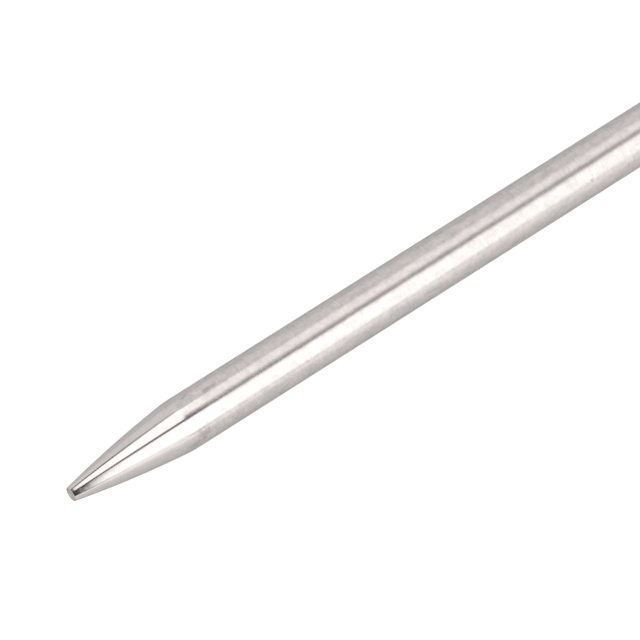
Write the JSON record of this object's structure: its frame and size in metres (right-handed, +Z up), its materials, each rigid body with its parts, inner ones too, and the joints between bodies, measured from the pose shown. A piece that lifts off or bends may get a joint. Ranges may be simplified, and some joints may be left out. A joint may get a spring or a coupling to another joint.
{
  "type": "garden dibber",
  "caption": "T-handled garden dibber: a round stainless steel spike with a blunt tapered point, held by a steel ferrule in a turned wooden crossbar.",
  "frame": {"origin": "on the bench the tool lies on, under the middle of its length and width", "axes": "+X runs from the point towards the palm, +Y along the crossbar, +Z up from the bench. The spike leans down towards its point by about 2.6 degrees, as the tool lies on its crossbar and on the shoulder of its point."},
  "size_m": [0.2438, 0.112, 0.03],
  "materials": {
    "spike_steel": "bright stainless, finely ground round the shaft and polished on the point",
    "ferrule_steel": "turned stainless, satin",
    "pin_steel": "stainless, ends slightly domed",
    "handle_wood": "turned ash, oiled",
    "plug_wood": "ash, oiled, sanded flush with the crossbar",
    "fixing_steel": "stainless, as made",
    "nylon": "natural nylon"
  },
  "bodies": {
    "root": {"spike": "spike_steel", "ferrule": "ferrule_steel", "ferrule_pin": "pin_steel", "crossbar": "handle_wood", "washer": "fixing_steel", "lock_nut": "fixing_steel", "lock_ring": "nylon", "plug": "plug_wood"}
  },
  "joints": []
}
